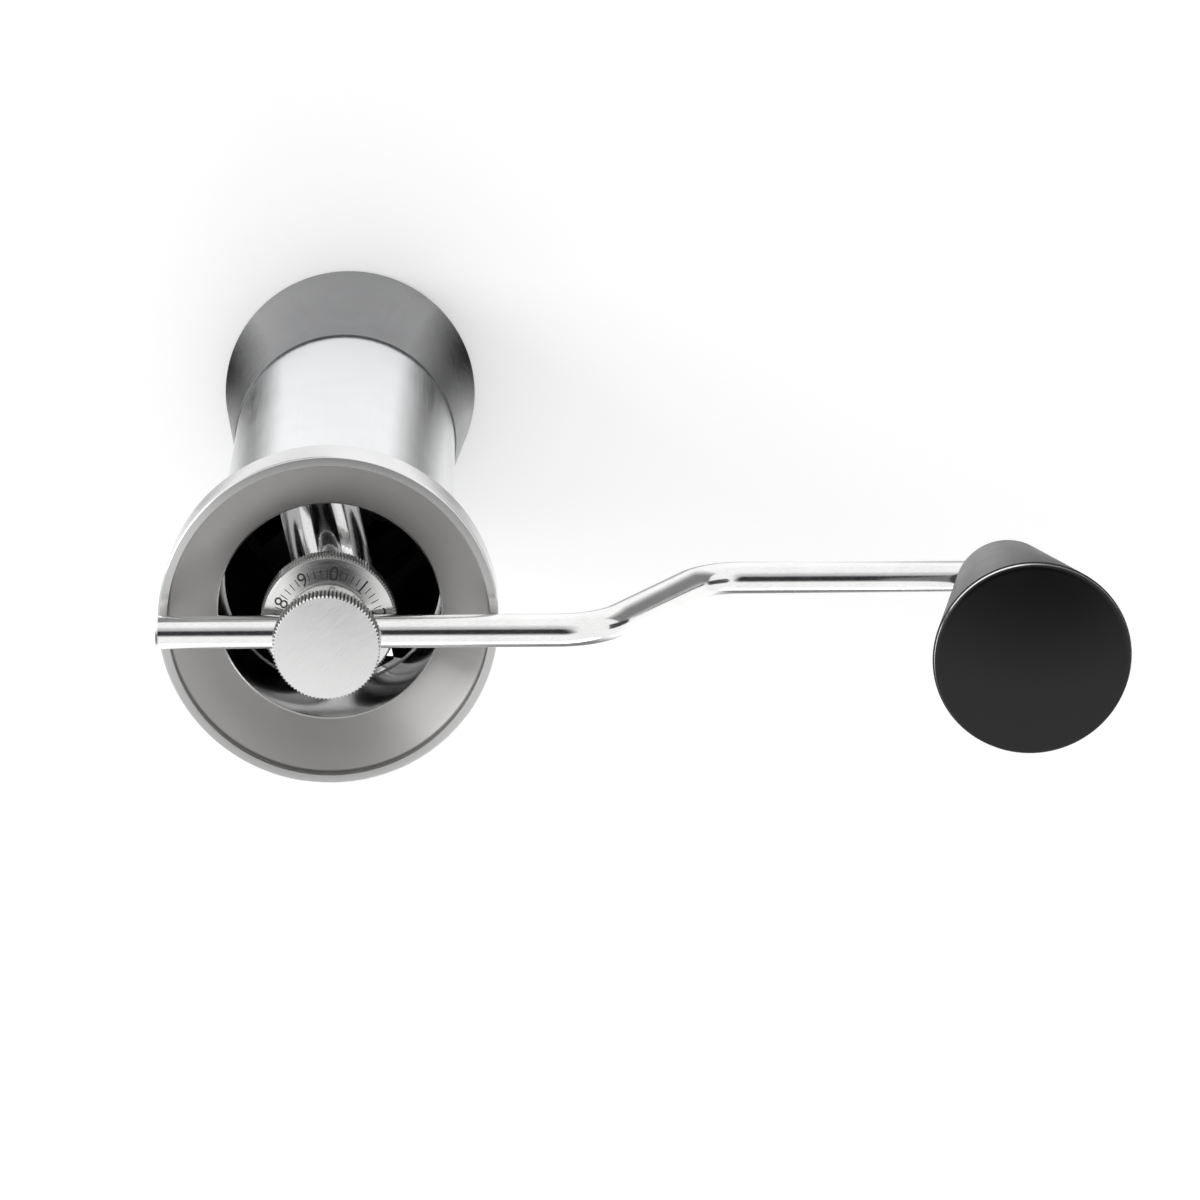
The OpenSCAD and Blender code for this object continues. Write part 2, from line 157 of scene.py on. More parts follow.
def mesh_object(name, mesh, smooth_angle=SMOOTH):
    """An object from a bmesh, shaded smooth up to an angle."""
    data = bpy.data.meshes.new(name)
    mesh.to_mesh(data)
    mesh.free()
    data.shade_smooth()
    data.set_sharp_from_angle(angle=smooth_angle)
    piece = bpy.data.objects.new(name, data)
    bpy.context.scene.collection.objects.link(piece)
    return piece


def cut_away(piece, tool):
    """Cuts a tool out of a piece, and removes the tool."""
    modifier = piece.modifiers.new("cut", "BOOLEAN")
    modifier.operation = "DIFFERENCE"
    modifier.solver = "EXACT"
    modifier.object = tool
    scene_state = bpy.context.evaluated_depsgraph_get()
    data = bpy.data.meshes.new_from_object(piece.evaluated_get(scene_state))
    piece.modifiers.clear()
    piece.data = data
    bpy.data.objects.remove(tool)
    data.shade_smooth()
    data.set_sharp_from_angle(angle=SMOOTH)


def install(piece, node, material):
    """Puts a detailed piece in place of a CAD node: same body, and the material that it is given.
    """
    piece.data.materials.clear()
    piece.data.materials.append(material)
    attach(piece, BODIES[node])
    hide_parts(node)


# Material tools ---------------------------------------------------------------------------


def add(tree, kind, inputs=None, **settings):
    """Adds a shader node, sets its properties, and links or sets its inputs."""
    node = tree.nodes.new("ShaderNode" + kind)
    for key, value in settings.items():
        setattr(node, key, value)
    for key, value in (inputs or {}).items():
        if isinstance(value, bpy.types.NodeSocket):
            tree.links.new(value, node.inputs[key])
        else:
            node.inputs[key].default_value = value
    return node


def noise(tree, vector, scale, detail=4.0, roughness=0.6):
    """Noise between 0 and 1 at a scale in features per metre."""
    inputs = {"Vector": vector, "Scale": scale, "Detail": detail, "Roughness": roughness}
    return add(tree, "TexNoise", inputs).outputs[0]


def remap(tree, value, low, high, start=0.3, end=0.7):
    """Maps a value from start and end to low and high, and holds it between the two."""
    inputs = {"Value": value, "From Min": start, "From Max": end, "To Min": low, "To Max": high}
    return add(tree, "MapRange", inputs).outputs[0]


def tint(tree, factor, first, second):
    """A colour between two colours."""
    inputs = {
        socket: value if isinstance(value, bpy.types.NodeSocket) else (*value, 1)
        for socket, value in ((6, first), (7, second))
    }
    return add(tree, "Mix", {0: factor, **inputs}, data_type="RGBA").outputs[2]


def object_position(tree):
    """Positions in the shared frame, since every object's origin is the frame's."""
    return add(tree, "TexCoord").outputs["Object"]


def stretched(tree, along, factor, turn):
    """Positions squeezed along one axis, so that noise on them runs in streaks that way.
    turn swings the streaks round the upright axis."""
    scale = [1.0, 1.0, 1.0]
    scale["xyz".index(along)] = factor
    swung = add(tree, "VectorRotate", {"Vector": object_position(tree), "Angle": turn},
                rotation_type="Z_AXIS").outputs[0]
    return add(tree, "VectorMath", {0: swung, 1: scale}, operation="MULTIPLY").outputs[0]


def radius_from(tree, centre):
    """Distance from an upright axis."""
    inputs = {0: object_position(tree), 1: (*centre, 0)}
    offset = add(tree, "VectorMath", inputs, operation="SUBTRACT").outputs[0]
    flat = add(tree, "VectorMath", {0: offset, 1: (1, 1, 0)}, operation="MULTIPLY").outputs[0]
    return add(tree, "VectorMath", {0: flat}, operation="LENGTH").outputs["Value"]


def turned(tree, centre):
    """Positions in which noise makes fine rings round an upright axis, as a lathe leaves them."""
    drift = 0.02
    inputs = {0: object_position(tree), 1: (*centre, 0)}
    offset = add(tree, "VectorMath", inputs, operation="SUBTRACT").outputs[0]
    radius = radius_from(tree, centre)
    parts = add(tree, "SeparateXYZ", {0: offset}).outputs
    across = add(tree, "Math", {0: parts[0], 1: parts[1]}, operation="ADD").outputs[0]
    slow = add(tree, "Math", {0: across, 1: drift}, operation="MULTIPLY").outputs[0]
    return add(tree, "CombineXYZ", {0: radius, 1: parts[2], 2: slow}).outputs[0]


def new_material(name):
    """A node material, with its tree and its main shader."""
    material = bpy.data.materials.new(name)
    material.use_nodes = True
    tree = material.node_tree
    return material, tree, tree.nodes["Principled BSDF"]


def bumped(tree, shader, height, depth):
    """Adds a bump of a real depth to the shader's normal."""
    inputs = {"Height": height, "Distance": depth, "Strength": 1.0}
    tree.links.new(add(tree, "Bump", inputs).outputs[0], shader.inputs["Normal"])


def metal(name, colour, rough, grain="turned", centre=(0, 0), lines=3500, depth=4e-7,
          spread=0.0, smudge=0.02, streak=0.03, shade=0.05, turn=0.0, inside=None, recess=None):
    """Bare or satin metal. grain is turned, x, z or blasted; lines is its fineness per metre.
    rough gives the lowest and highest roughness, depth the height of the grain, spread the
    anisotropy, smudge the slow change of roughness, and shade the change of colour. streak
    squeezes an x or z grain along its axis, and turn swings it. inside is (radius, colour,
    roughness) for the surface within a radius, and recess the radii between which the sides of
    a knurl get painted shade, darker towards the bottoms of its grooves."""
    slow_scale = 70
    upright_limit = 0.35
    margin = 0.1 * MM
    # colour of the painted shade at the bottoms of knurl grooves
    groove_shade_black = (0.008, 0.008, 0.008)
    material, tree, shader = new_material(name)
    if grain == "turned":
        position = turned(tree, centre)
    elif grain == "blasted":
        position = object_position(tree)
    else:
        position = stretched(tree, grain, streak, turn)
    fine = noise(tree, position, lines, detail=2.5, roughness=0.55)
    slow = noise(tree, object_position(tree), slow_scale, detail=3)
    roughness = remap(tree, fine, *rough)
    haze = remap(tree, slow, -smudge, smudge)
    total = add(tree, "Math", {0: roughness, 1: haze}, operation="ADD", use_clamp=True).outputs[0]
    dark = [c * (1 - shade) for c in colour]
    light = [min(1.0, c * (1 + shade)) for c in colour]
    mixed = add(tree, "Math", {0: fine, 1: slow}, operation="ADD").outputs[0]
    tone = tint(tree, remap(tree, mixed, 0, 1, start=0.75, end=1.25), dark, light)
    if inside:
        limit, inner_colour, inner_rough = inside
        within = add(tree, "Math", {0: radius_from(tree, centre), 1: limit},
                     operation="LESS_THAN").outputs[0]
        tone = tint(tree, within, tone, inner_colour)
        total = add(tree, "Mix", {0: within, 2: total, 3: inner_rough}).outputs[0]
    # painted shade: the sides of a knurl darken towards the bottoms of its grooves, in place of
    # the shade that falls there
    if recess:
        radius = radius_from(tree, centre)
        hollow = remap(tree, radius, 1, 0, start=recess[0], end=recess[1])
        facing = add(tree, "SeparateXYZ", {0: add(tree, "NewGeometry").outputs["True Normal"]})
        rise = add(tree, "Math", {0: facing.outputs[2]}, operation="ABSOLUTE").outputs[0]
        upright = add(tree, "Math", {0: rise, 1: upright_limit}, operation="LESS_THAN").outputs[0]
        outside = add(tree, "Math", {0: radius, 1: recess[0] - margin},
                      operation="GREATER_THAN").outputs[0]
        sides = add(tree, "Math", {0: upright, 1: outside}, operation="MULTIPLY").outputs[0]
        painted_groove_shade = add(tree, "Math", {0: sides, 1: hollow}, operation="MULTIPLY").outputs[0]
        tone = tint(tree, painted_groove_shade, tone, groove_shade_black)
    tree.links.new(total, shader.inputs["Roughness"])
    tree.links.new(tone, shader.inputs["Base Color"])
    shader.inputs["Metallic"].default_value = 1.0
    bumped(tree, shader, fine, depth)
    if spread:
        shader.inputs["Anisotropic"].default_value = spread
        shader.inputs["Anisotropic Rotation"].default_value = 0.25 if grain == "turned" else 0.0
        axis = "X" if grain == "x" else "Z"
        tangent = add(tree, "Tangent", direction_type="RADIAL", axis=axis).outputs[0]
        tree.links.new(tangent, shader.inputs["Tangent"])
    return material


def coating(name, colour, rough, metallic=0.0, specular=0.5, grain=6000, depth=4e-6, wear=0.15):
    """Anodising, plastic or rubber: fine grain, slow haze and edges rubbed a little lighter."""
    slow_scale = 60
    material, tree, shader = new_material(name)
    place = object_position(tree)
    fine = noise(tree, place, grain, detail=3)
    slow = noise(tree, place, slow_scale, detail=4)
    total = add(tree, "Math", {0: fine, 1: slow}, operation="ADD").outputs[0]
    tree.links.new(remap(tree, total, *rough, start=0.7, end=1.3), shader.inputs["Roughness"])
    edge = add(tree, "NewGeometry").outputs["Pointiness"]
    rubbed = add(tree, "Math", {0: remap(tree, edge, 0, 1, start=0.52, end=0.6), 1: wear},
                 operation="MULTIPLY").outputs[0]
    darker, lighter = [c * 0.9 for c in colour], [c * 1.1 for c in colour]
    mottled = tint(tree, remap(tree, slow, 0, 1), darker, lighter)
    light = [min(1.0, c * 2 + 0.05) for c in colour]
    tree.links.new(tint(tree, rubbed, mottled, light), shader.inputs["Base Color"])
    shader.inputs["Metallic"].default_value = metallic
    shader.inputs["Specular IOR Level"].default_value = specular
    bumped(tree, shader, fine, depth)
    return material


# Materials ---------------------------------------------------------------------------------

KNOB_CENTRE = centre_of("knob_cap")

# (radius, colour, roughness) of the surface within that radius
TUBE_INSIDE = (28.6 * MM, (0.16, 0.16, 0.165), 0.45)
SPIGOT_WALL = (27.4 * MM, (0.5, 0.5, 0.5), 0.11)
RIM_BAND = (40.7 * MM, (0.6, 0.6, 0.595), 0.27)

tube_steel = metal("tube_steel", (0.88, 0.89, 0.90), (0.16, 0.24), "z", lines=2600, streak=0.012,
                   depth=3e-7, smudge=0.01, shade=0.04, spread=0.3, inside=TUBE_INSIDE)
rim_steel = metal("rim_steel", (0.86, 0.86, 0.86), (0.14, 0.22), lines=4000, spread=0.95,
                  shade=0.06, inside=RIM_BAND)
funnel_satin = metal("funnel_satin", (0.43, 0.422, 0.418), (0.36, 0.42), lines=22000, depth=1e-7,
                     shade=0.02, smudge=0.01, spread=0.2, inside=SPIGOT_WALL)
bridge_polished = metal("bridge_polished", (0.80, 0.80, 0.80), (0.05, 0.10), "blasted", lines=1500,
                        depth=2e-7, smudge=0.02)
bearing_steel = metal("bearing_steel", (0.66, 0.67, 0.69), (0.12, 0.2))
spring_steel = metal("spring_steel", (0.36, 0.37, 0.40), (0.25, 0.35), "blasted")
burr_steel = metal("burr_steel", (0.13, 0.13, 0.135), (0.25, 0.38), "blasted", lines=5000)
magnet_nickel = metal("magnet_nickel", (0.70, 0.69, 0.66), (0.15, 0.25), "blasted")
click_steel = metal("click_steel", (0.52, 0.52, 0.53), (0.16, 0.26))
# recess gives the radii of the painted shade in the knurl grooves
dial_steel = metal("dial_steel", (0.78, 0.78, 0.77), (0.12, 0.22), lines=6000, spread=0.75,
                   depth=2.5e-7, shade=0.08, recess=(16.04 * MM, 16.2 * MM))
shaft_steel = metal("shaft_steel", (0.72, 0.72, 0.73), (0.12, 0.2))
bar_steel = metal("bar_steel", (0.93, 0.93, 0.925), (0.08, 0.18), "x", lines=5000, depth=3e-7,
                  streak=0.15, shade=0.07)
screw_steel = metal("screw_steel", (0.62, 0.62, 0.63), (0.22, 0.34))
# recess gives the radii of the painted shade in the knurl grooves
thumb_steel = metal("thumb_steel", (0.92, 0.92, 0.915), (0.26, 0.38), "x", lines=3500, depth=3e-7,
                    streak=0.06, turn=math.radians(-40), shade=0.035,
                    recess=(12.45 * MM, 12.8 * MM))
knob_trim = metal("knob_trim", (0.88, 0.88, 0.88), (0.06, 0.12), centre=KNOB_CENTRE, spread=0.3)
bush_bronze = metal("bush_bronze", (0.52, 0.38, 0.20), (0.3, 0.42), "blasted")
knob_black = coating("knob_black", (0.018, 0.018, 0.02), (0.30, 0.38), specular=0.6)
knob_cap_black = coating("knob_cap_black", (0.004, 0.004, 0.0045), (0.15, 0.21), specular=0.36,
                         depth=1e-6, wear=0.02)
cup_dark = coating("cup_dark", (0.19, 0.192, 0.197), (0.22, 0.29), metallic=0.95, grain=9000,
                   depth=1.5e-6)
rubber_black = coating("rubber_black", (0.02, 0.02, 0.02), (0.6, 0.75), depth=2e-5)
dial_ink = coating("dial_ink", (0.01, 0.01, 0.01), (0.4, 0.5), wear=0)

MATERIALS = {
    "tube_steel": tube_steel, "rim_steel": rim_steel, "funnel_satin": funnel_satin,
    "bridge_polished": bridge_polished, "bearing_steel": bearing_steel,
    "spring_steel": spring_steel, "burr_steel": burr_steel, "rubber_black": rubber_black,
    "magnet_nickel": magnet_nickel, "click_steel": click_steel, "dial_steel": dial_steel,
    "shaft_steel": shaft_steel, "bar_steel": bar_steel, "screw_steel": screw_steel,
    "thumb_steel": thumb_steel, "knob_black": knob_black, "knob_cap_black": knob_cap_black,
    "knob_trim": knob_trim, "bush_bronze": bush_bronze, "cup_dark": cup_dark,
    "dial_ink": dial_ink,
}
for node, piece in NODES.items():
    for material_slot in piece.material_slots:
        material_slot.material = MATERIALS[SLOTS[node]]


def turned_piece(name, node, corners, **options):
    """A turned piece in place of a CAD node."""
    piece = mesh_object(name, lathe(corners, **options))
    install(piece, node, MATERIALS[SLOTS[node]])


# Body -----------------------------------------------------------------------------------

RIM_R, RIM_LOW_Z, RIM_Z = round_size("rim_ring")
TUBE_R, TUBE_LOW_Z, TUBE_TOP_Z = round_size("body_tube")
BORE_R = TUBE_R - 2 * MM
BAND_R = RIM_R - 2.2 * MM
SEAT_Z = RIM_Z - 11.7 * MM
SEAT_SLOPE = 0.62
BEAM_W = 19.6 * MM
CROWN_R = 18.5 * MM
BEAM_TURN = Matrix.Rotation(math.radians(102), 4, "Z")


def build_tube():
    """The long brushed tube."""
    turned_piece("tube_body", "body_tube", [
        (BORE_R, TUBE_LOW_Z, 0.2 * MM), (TUBE_R, TUBE_LOW_Z, 0.35 * MM),
        (TUBE_R, TUBE_TOP_Z), (BORE_R, TUBE_TOP_Z),
    ], segments=256)


def build_rim():
    """The turned hopper rim: flare, straight wall, flat band and the seat for the funnel."""
    wall_z = RIM_Z - 11.6 * MM
    turned_piece("rim_flange", "rim_ring", [
        (TUBE_R, RIM_LOW_Z), (TUBE_R + 1 * MM, RIM_LOW_Z, 0.3 * MM),
        (RIM_R - 0.8 * MM, wall_z - 1 * MM, 0.6 * MM), (RIM_R, wall_z, 0.5 * MM),
        (RIM_R, RIM_Z - 0.07 * MM, 0.45 * MM), (BAND_R, RIM_Z, 0.12 * MM),
        (BAND_R, SEAT_Z + (BAND_R - BORE_R) * SEAT_SLOPE), (BORE_R, SEAT_Z),
        (BORE_R, TUBE_TOP_Z), (TUBE_R, TUBE_TOP_Z),
    ], segments=288)


def build_funnel():
    """The dish that lies in the rim, and the spigot that it ends in."""
    dish_r, spigot_z, dish_z = round_size("funnel_insert")
    mouth_r = BORE_R - 1 * MM
    spigot_r = BORE_R - 0.1 * MM
    lip_z = RIM_Z - 9.5 * MM
    seat_z = SEAT_Z + 0.05 * MM
    turned_piece("funnel_dish", "funnel_insert", [
        (mouth_r, spigot_z, 0.15 * MM), (spigot_r, spigot_z, 0.1 * MM), (spigot_r, seat_z),
        (dish_r, seat_z + (dish_r - BORE_R) * SEAT_SLOPE), (dish_r, dish_z, 0.1 * MM),
        (dish_r - 0.45 * MM, dish_z, 0.15 * MM), (mouth_r + 0.5 * MM, lip_z + 0.3 * MM, 0.25 * MM),
        (mouth_r, lip_z, 0.15 * MM),
    ], segments=256)


def box_mesh(low, high):
    """A closed box between two corners."""
    mesh = bmesh.new()
    bmesh.ops.create_cube(mesh, size=1)
    for vertex in mesh.verts:
        vertex.co = [a if c < 0 else b for a, b, c in zip(low, high, vertex.co)]
    return mesh


def build_bridge():
    """The beam across the bore: crowned on top, and bored from below for its bearing."""
    beam_z, beam_top_z = (corner.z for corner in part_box("upper_bridge"))
    bearing_r, bearing_z, bearing_top_z = round_size("upper_outer_race")
    end_r = BORE_R - 0.1 * MM
    edge = 0.22 * MM
    crown = math.asin(BEAM_W / 2 / CROWN_R)
    steps = 12
    arc = [(CROWN_R * math.sin(a), beam_top_z + CROWN_R * (math.cos(a) - 1))
           for a in [crown * k / steps for k in range(steps, -steps - 1, -1)]]
    section = rounded([
        (-BEAM_W / 2, beam_z, edge), (BEAM_W / 2, beam_z, edge),
        (*arc[0], edge), *arc[1:-1], (*arc[-1], edge),
    ])
    beam = bmesh.new()
    ends = [[
        beam.verts.new((side * math.sqrt(end_r ** 2 - p.x ** 2), p.x, p.y)) for p in section
    ] for side in (-1, 1)]
    for i in range(len(section)):
        j = (i + 1) % len(section)
        beam.faces.new((ends[0][i], ends[0][j], ends[1][j], ends[1][i]))
    beam.faces.new(ends[0])
    beam.faces.new(ends[1])
    bmesh.ops.recalc_face_normals(beam, faces=beam.faces)
    bmesh.ops.transform(beam, matrix=BEAM_TURN, verts=beam.verts)
    piece = mesh_object("bearing_bridge", beam)
    sleeve_hole_r = 5.7 * MM
    groove_r = bearing_r + 0.4 * MM
    groove_z = bearing_z - 1 * MM
    below_z = beam_z - 1 * MM
    above_z = beam_top_z + 1 * MM
    bore = mesh_object("bore", lathe([
        (0, below_z), (bearing_r, below_z), (bearing_r, groove_z),
        (groove_r, groove_z), (groove_r, bearing_z), (bearing_r, bearing_z),
        (bearing_r, bearing_top_z), (sleeve_hole_r, bearing_top_z),
        (sleeve_hole_r, above_z), (0, above_z),
    ], segments=160))
    cut_away(piece, bore)
    install(piece, "upper_bridge", bridge_polished)


def build_bridge_ring():
    """The sleeve that straddles the beam under the funnel's spigot."""
    ring_r, ring_z, ring_top_z = round_size("bridge_ring")
    inner_r = BORE_R - 1.3 * MM
    piece = mesh_object("bridge_sleeve", lathe([
        (inner_r, ring_z, 0.2 * MM), (ring_r, ring_z, 0.2 * MM),
        (ring_r, ring_top_z, 0.1 * MM), (inner_r, ring_top_z, 0.2 * MM),
    ], segments=256))
    gap = 0.05 * MM
    half_w = BEAM_W / 2 + gap
    notch_z, notch_top_z = ring_z - 1 * MM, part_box("upper_bridge")[1].z + gap
    notch = box_mesh((-2 * ring_r, -half_w, notch_z), (2 * ring_r, half_w, notch_top_z))
    bmesh.ops.transform(notch, matrix=BEAM_TURN, verts=notch.verts)
    cut_away(piece, mesh_object("notch", notch))
    install(piece, "bridge_ring", bridge_polished)


def build_click_plate():
    """The detent plate under the dial, and the sleeve that it stands on."""
    plate_r, sleeve_z, top_z = round_size("click_plate")
    bore_r = 4.05 * MM
    sleeve_r = 5.2 * MM
    neck_r = 7.5 * MM
    plate_z = top_z - 2.8 * MM
    ball_r = 1.1 * MM
    ball_rise = 0.5 * MM
    track_r = 12 * MM
    steps = 8
    first = math.asin(ball_rise / ball_r)
    track = [
        (track_r + ball_r * math.cos(a), top_z + ball_rise - ball_r * math.sin(a))
        for a in [first + (math.pi - 2 * first) * k / steps for k in range(steps + 1)]
    ]
    turned_piece("click_sleeve", "click_plate", [
        (bore_r, sleeve_z), (sleeve_r, sleeve_z, 0.1 * MM), (sleeve_r, sleeve_z + 13 * MM, 2 * MM),
        (neck_r, sleeve_z + 18 * MM, 2 * MM), (neck_r, plate_z), (plate_r, plate_z, 0.3 * MM),
        (plate_r, top_z, 0.3 * MM), *track, (bore_r, top_z),
    ], segments=160)


# Dial, hub and thumb screw ---------------------------------------------------------------


def knurl(head_r, teeth, depth):
    """A straight knurl: a radius that dips between teeth, and never passes the outline."""
    inner_r = head_r - depth * 1.01

    def shape(angle, radius, height):
        phase = (angle * teeth / TURN) % 1
        valley = 1 - abs(2 * phase - 1)
        return min(radius, head_r - depth * valley) if radius > inner_r else radius
    return shape


def build_dial():
    """The knurled dial with its conical scale."""
    dial_r, dial_z, dial_top_z = round_size("adjust_dial")
    ridges = 135
    bore_r = 10.05 * MM
    band_top_z = dial_z + 4.6 * MM
    foot_bevel = 0.3 * MM
    bevel = 0.7 * MM
    groove = 0.4 * MM
    cone_r = bore_r + 0.35 * MM
    piece = mesh_object("dial_ring", lathe([
        (bore_r, dial_z), (dial_r - foot_bevel, dial_z), (dial_r, dial_z + foot_bevel),
        (dial_r, band_top_z), (dial_r - bevel, band_top_z + bevel, 0.1 * MM),
        (cone_r, dial_top_z, 0.1 * MM), (bore_r, dial_top_z),
    ], segments=ridges * 4, shape=knurl(dial_r, ridges, groove)), smooth_angle=math.radians(22))
    install(piece, "adjust_dial", dial_steel)
    build_dial_marks(dial_r - bevel, band_top_z + bevel, cone_r, dial_top_z)


def build_dial_marks(outer_r, outer_z, inner_r, inner_z):
    """Numbers 0 to 9 and four fine lines between each two, filled into the dial's cone."""
    digits, divisions = 10, 5
    zero_angle = math.radians(83.3)
    middle_r = 12.45 * MM
    digit_h = 3.35 * MM
    capital_share = 0.7
    line_len = 1.9 * MM
    line_w = 0.2 * MM
    raised = 0.015 * MM
    thinned = 0.015 * MM
    slope = (outer_z - inner_z) / (outer_r - inner_r)
    marks = bmesh.new()
    floor = -0.05 * MM

    def on_cone(across, out, angle, lift):
        """The point on the cone that is across and out from a mark's middle."""
        radius = middle_r + out
        turned_angle = angle - across / radius
        height = inner_z + (radius - inner_r) * slope + lift
        return Vector((radius * math.cos(turned_angle), radius * math.sin(turned_angle), height))

    def add_line(angle, out, width, length):
        """One filled line; length runs away from the axis."""
        corners = [
            marks.verts.new(on_cone(across * width / 2, out + along * length / 2, angle, lift))
            for lift in (floor, raised)
            for across, along in ((-1, -1), (1, -1), (1, 1), (-1, 1))
        ]
        low, high = corners[:4], corners[4:]
        marks.faces.new(low[::-1])
        marks.faces.new(high)
        for i in range(4):
            j = (i + 1) % 4
            marks.faces.new((low[i], low[j], high[j], high[i]))

    for value in range(digits):
        angle = zero_angle - TURN * value / digits
        curve = bpy.data.curves.new("digit", "FONT")
        curve.body = str(value)
        curve.size = digit_h / capital_share
        curve.align_x = "CENTER"
        curve.offset = -thinned
        text = bpy.data.objects.new("digit", curve)
        bpy.context.scene.collection.objects.link(text)
        flat = bpy.data.meshes.new_from_object(text.evaluated_get(
            bpy.context.evaluated_depsgraph_get()))
        bpy.data.objects.remove(text)
        digit = bmesh.new()
        digit.from_mesh(flat)
        bmesh.ops.remove_doubles(digit, verts=digit.verts, dist=TINY)
        body = bmesh.ops.extrude_face_region(digit, geom=digit.faces[:])
        for vertex in [g for g in body["geom"] if isinstance(g, bmesh.types.BMVert)]:
            vertex.co.z = 1
        lowest = min(v.co.y for v in digit.verts)
        highest = max(v.co.y for v in digit.verts)
        for vertex in digit.verts:
            out = vertex.co.y - (lowest + highest) / 2
            lift = raised if vertex.co.z > 0.5 else floor
            vertex.co = on_cone(vertex.co.x, out, angle, lift)
        bmesh.ops.recalc_face_normals(digit, faces=digit.faces)
        digit.to_mesh(flat)
        digit.free()
        marks.from_mesh(flat)
        if value == 1:
            add_line(angle, line_w / 2 - digit_h / 2, digit_h / 2, line_w)
        for step in range(1, divisions):
            add_line(angle - TURN * step / (digits * divisions), 0, line_w, line_len)
    piece = mesh_object("dial_marks", marks)
    piece.data.materials.append(dial_ink)
    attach(piece, "dial")


def build_hub():
    """The round hub, with the slot from above that the crank bar lies in."""
    hub_r, hub_z, hub_top_z = round_size("drive_hub")
    bore_r = 4 * MM
    piece = mesh_object("hub", lathe([
        (bore_r, hub_z), (hub_r, hub_z), (hub_r, hub_top_z, 0.5 * MM), (bore_r, hub_top_z),
    ], segments=160))
    bar_r = 4.02 * MM
    bar_z = RIM_Z + 8 * MM
    open_z = bar_z + 10 * MM
    steps = 32
    slot = bmesh.new()
    reach = 2 * hub_r
    outline = [Vector((-bar_r, open_z)), *[
        Vector((bar_r * math.cos(a), bar_z + bar_r * math.sin(a)))
        for a in [math.pi + math.pi * k / steps for k in range(steps + 1)]
    ], Vector((bar_r, open_z))]
    sides = [[slot.verts.new((x, p.x, p.y)) for p in outline] for x in (-reach, reach)]
    for i in range(len(outline)):
        j = (i + 1) % len(outline)
        slot.faces.new((sides[0][i], sides[0][j], sides[1][j], sides[1][i]))
    slot.faces.new(sides[0])
    slot.faces.new(sides[1])
    bmesh.ops.recalc_face_normals(slot, faces=slot.faces)
    cut_away(piece, mesh_object("slot", slot))
    install(piece, "drive_hub", dial_steel)


def build_thumb_screw():
    """The knurled flat head, and the stud under it."""
    head_r, stud_z, top_z = round_size("thumb_screw")
    ridges = 85
    washer_top_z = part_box("clamp_washer")[1].z
    stud_r = 2.45 * MM
    head_z = top_z - 6.9 * MM
    neck_r = 8.5 * MM
    neck_z = washer_top_z + 0.05 * MM
    foot_bevel = 0.6 * MM
    bevel = 0.55 * MM
    groove = 0.48 * MM
    piece = mesh_object("thumb_head", lathe([
        (0, stud_z), (stud_r, stud_z, 0.4 * MM), (stud_r, neck_z), (neck_r, neck_z, 0.2 * MM),
        (neck_r, head_z), (head_r - foot_bevel, head_z), (head_r, head_z + foot_bevel),
        (head_r, top_z - bevel), (head_r - bevel, top_z, 0.06 * MM), (0, top_z),
    ], segments=ridges * 6, shape=knurl(head_r, ridges, groove)), smooth_angle=math.radians(22))
    install(piece, "thumb_screw", thumb_steel)


# Crank and knob ---------------------------------------------------------------------------


def build_crank():
    """Round bar: level, down through two equal bends, and level again under the knob."""
    low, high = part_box("crank_bar")
    radius = high.y
    upper_z = high.z - radius
    lower_z = low.z + radius
    bend_r = 17 * MM
    bend = math.radians(58)
    bend_x = 55 * MM
    drop = upper_z - lower_z
    slant = (drop - 2 * bend_r * (1 - math.cos(bend))) / math.sin(bend)
    low_x = bend_x + 2 * bend_r * math.sin(bend) + slant * math.cos(bend)
    steps = 20
    tip = 0.6 * MM
    end_tip = 0.8 * MM
    path = [
        (Vector((low.x, 0, upper_z)), 0, 1 - tip / radius),
        (Vector((low.x + tip, 0, upper_z)), 0, 1),
    ]
    for k in range(steps + 1):
        angle = bend * k / steps
        x = bend_x + bend_r * math.sin(angle)
        path.append((Vector((x, 0, upper_z - bend_r * (1 - math.cos(angle)))), angle, 1))
    for k in range(steps, -1, -1):
        angle = bend * k / steps
        x = low_x - bend_r * math.sin(angle)
        path.append((Vector((x, 0, lower_z + bend_r * (1 - math.cos(angle)))), angle, 1))
    path.append((Vector((high.x - end_tip, 0, lower_z)), 0, 1))
    path.append((Vector((high.x, 0, lower_z)), 0, 1 - end_tip / radius))
    aimed = [(p, Vector((math.cos(a), 0, -math.sin(a))), factor) for p, a, factor in path]
    piece = mesh_object("crank_rod", sweep(aimed, radius, sides=64))
    install(piece, "crank_bar", bar_steel)


